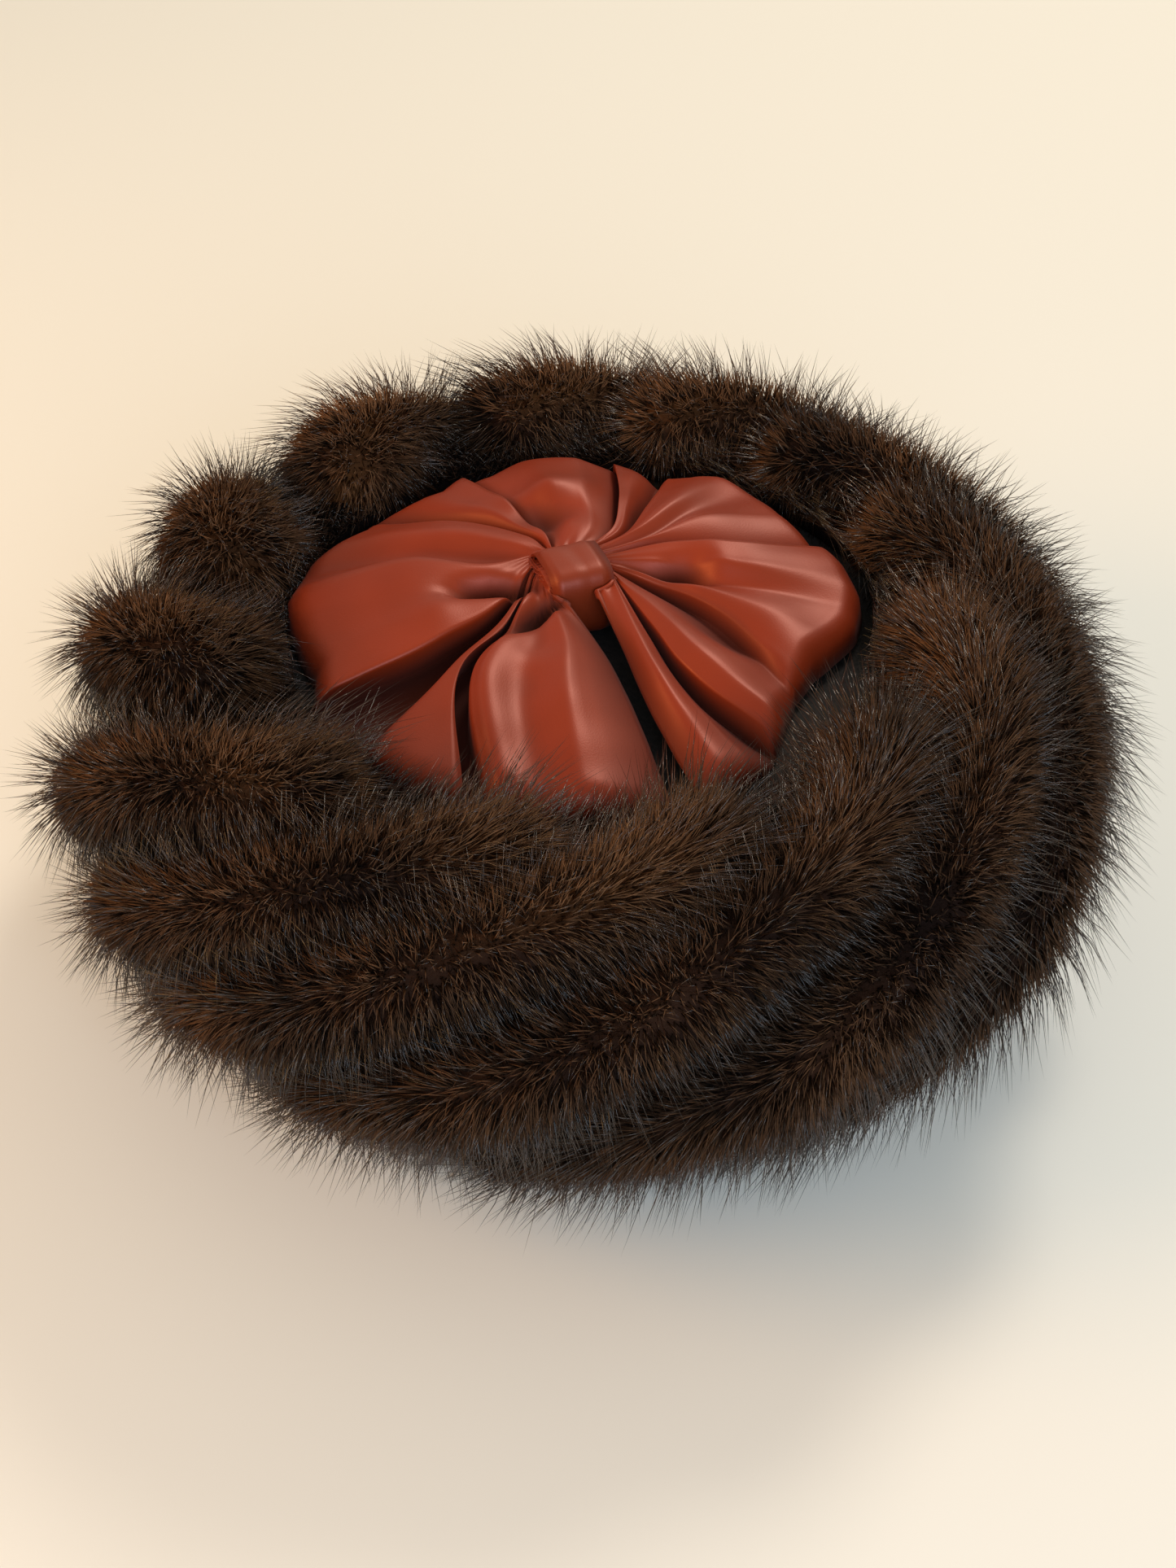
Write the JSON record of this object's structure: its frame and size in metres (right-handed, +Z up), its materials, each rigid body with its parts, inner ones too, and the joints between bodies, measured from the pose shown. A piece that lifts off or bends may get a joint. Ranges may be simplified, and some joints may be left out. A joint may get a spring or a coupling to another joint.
{
  "type": "pillbox hat",
  "caption": "Pillbox hat with a band of deep brown fur in plump slanting rolls, and a crown of rust satin gathered into a bow at a small knot.",
  "frame": {"origin": "centre of the hat's footprint box, on the surface that its lower edge rests on", "axes": "+Z up out of the crown, -Y the side that faces the viewer in the picture, +X to that viewer's right"},
  "size_m": [0.2558, 0.2544, 0.0998],
  "materials": {
    "fur": "deep dark brown fur with amber underfur and a light sheen",
    "cap_cloth": "near-black matte cloth",
    "satin": "rust satin with a soft sheen",
    "knot_satin": "rust satin with a soft sheen"
  },
  "bodies": {
    "root": {"fur_band": "fur", "crown_cap": "cap_cloth", "satin_bow": "satin", "knot_band": "knot_satin"}
  },
  "joints": []
}
